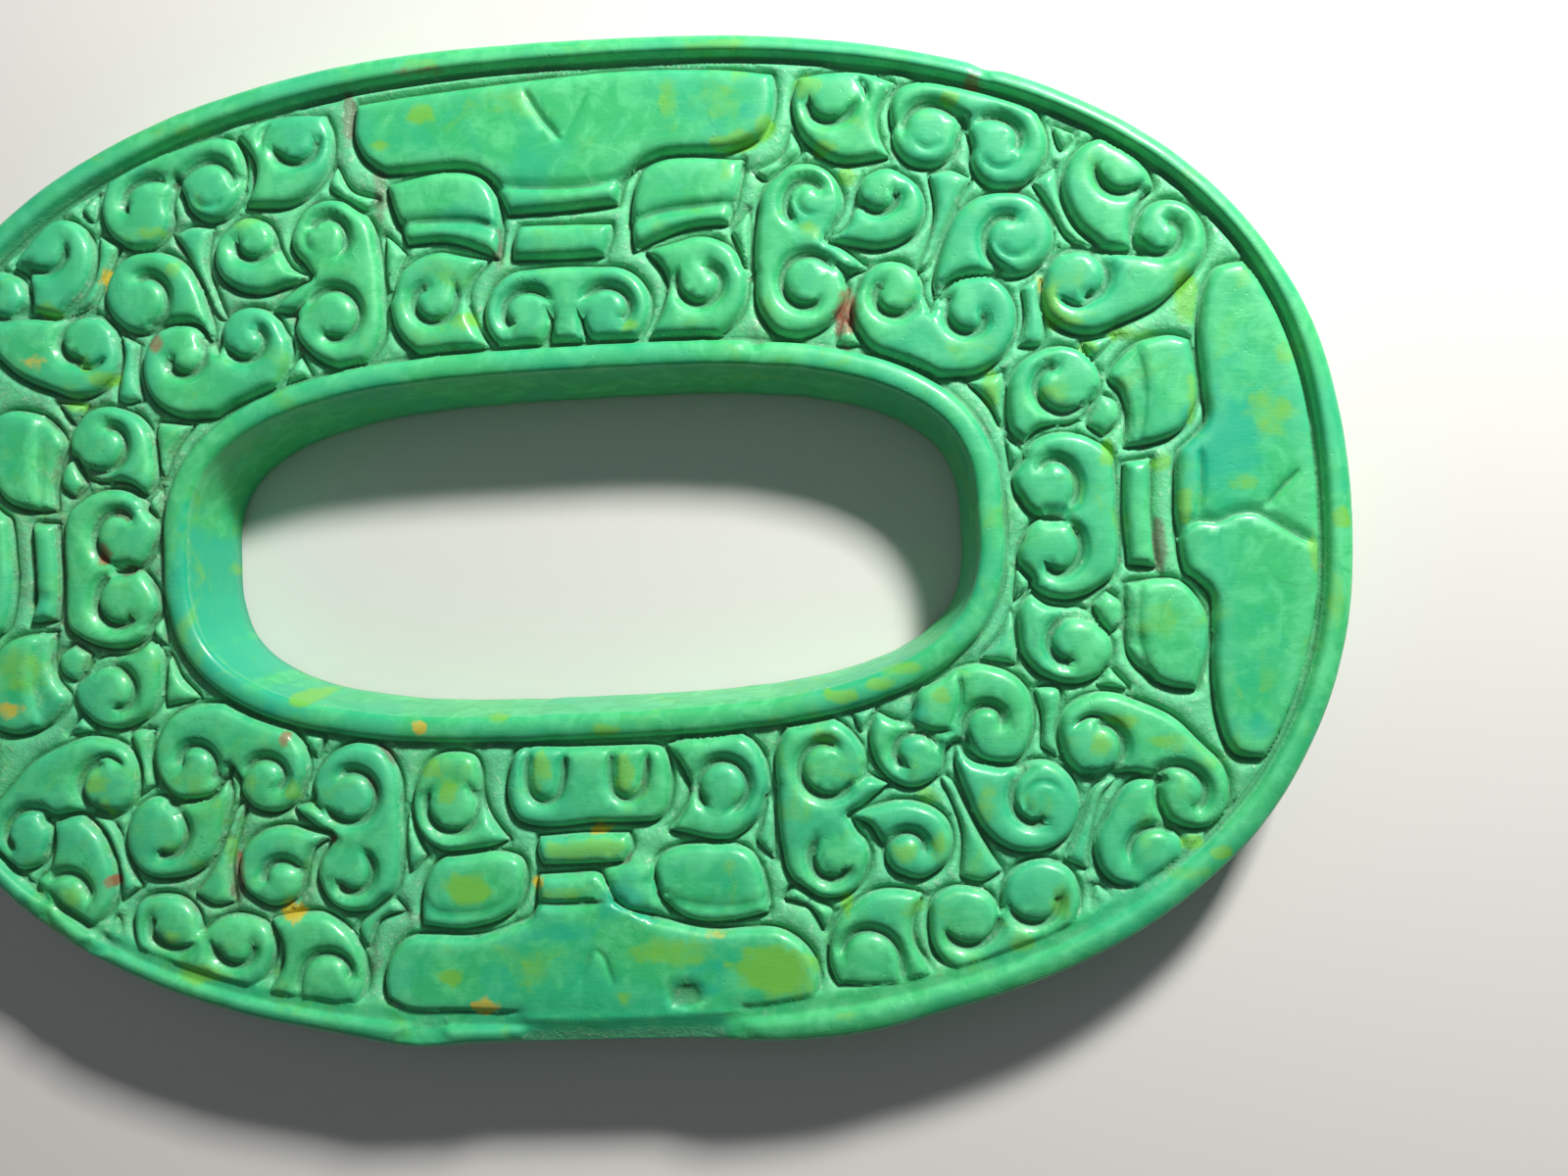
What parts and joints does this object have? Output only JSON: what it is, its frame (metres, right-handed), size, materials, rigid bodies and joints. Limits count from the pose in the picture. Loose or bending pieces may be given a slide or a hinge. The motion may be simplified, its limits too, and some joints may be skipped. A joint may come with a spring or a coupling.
{
  "type": "carved donut pendant",
  "caption": "Flat oblong turquoise ring pendant with a long centre hole for a cord and a face carved in low relief with mirrored scrolls and masks.",
  "frame": {"origin": "middle of the outline, on the plane of the flat back", "axes": "+X along the longest side, +Y across the ring, +Z out of the carved face"},
  "size_m": [0.086, 0.0578, 0.0065],
  "materials": {
    "turquoise": "polished green turquoise with blue-green and yellow-green patches, and pale film and dark dirt in the carving"
  },
  "bodies": {
    "root": {"pendant": "turquoise"}
  },
  "joints": []
}
